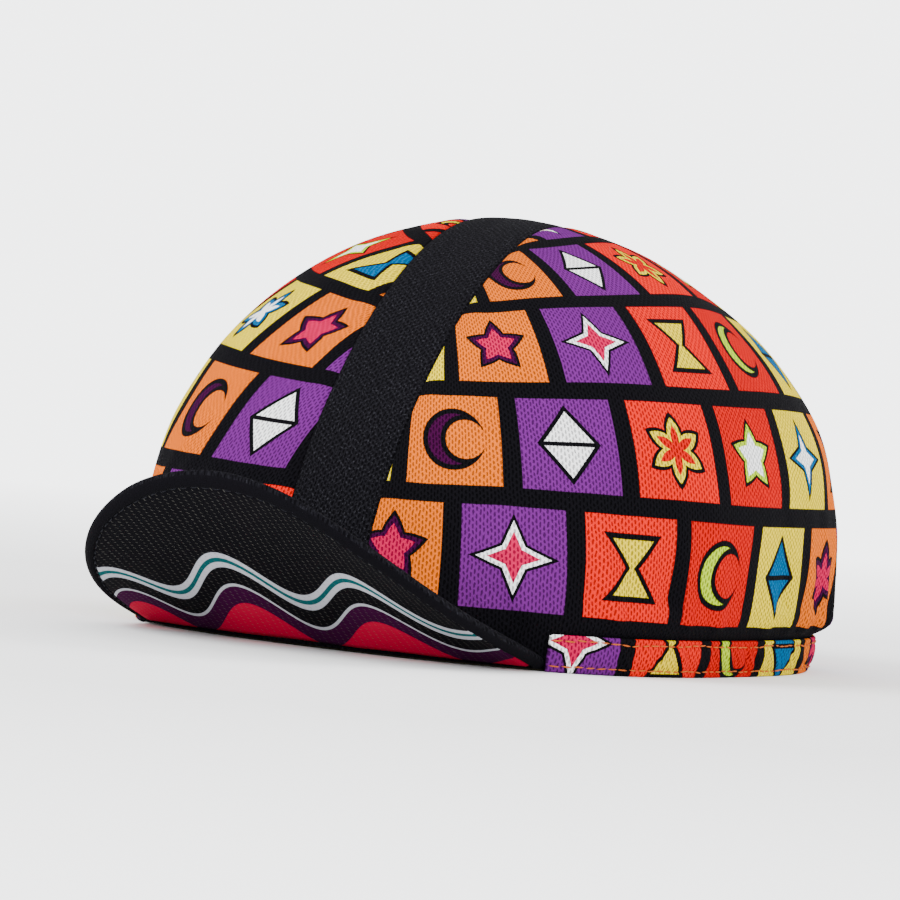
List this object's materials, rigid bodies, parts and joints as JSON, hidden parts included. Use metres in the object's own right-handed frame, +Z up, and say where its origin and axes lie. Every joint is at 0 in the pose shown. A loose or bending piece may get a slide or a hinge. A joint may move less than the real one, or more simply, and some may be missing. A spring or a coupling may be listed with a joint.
{
  "type": "cycling cap",
  "caption": "Soft cycling cap with a stiff turned-up peak, a black centre strip between printed side panels, and an elastic rim.",
  "frame": {"origin": "middle of the whole cap's bounding box, on the surface that it rests on", "axes": "+Z up through the top of the crown; -Y the way the peak points; +X the wearer's left"},
  "size_m": [0.1658, 0.2446, 0.112],
  "materials": {
    "printed_knit": "eyelet knit polyester printed with black-edged coloured tiles, pale on its reverse, matt",
    "black_mesh": "black eyelet knit polyester, pale on its reverse, matt",
    "peak_cloth": "fine black cloth over a stiff sheet with a bound and stitched edge and a printed underside, matt",
    "hem_knit": "eyelet knit polyester printed as the panels, with orange topstitching along both edges, matt",
    "terry_band": "dark olive towelling and smooth band with a pale row of stitches, very matt",
    "ribbed_elastic": "dark finely ribbed elastic band, matt"
  },
  "bodies": {
    "root": {"side_panel_left": "printed_knit", "side_panel_right": "printed_knit", "centre_strip": "black_mesh", "peak": "peak_cloth", "hem_band": "hem_knit", "sweatband": "terry_band", "back_elastic": "ribbed_elastic"}
  },
  "joints": []
}
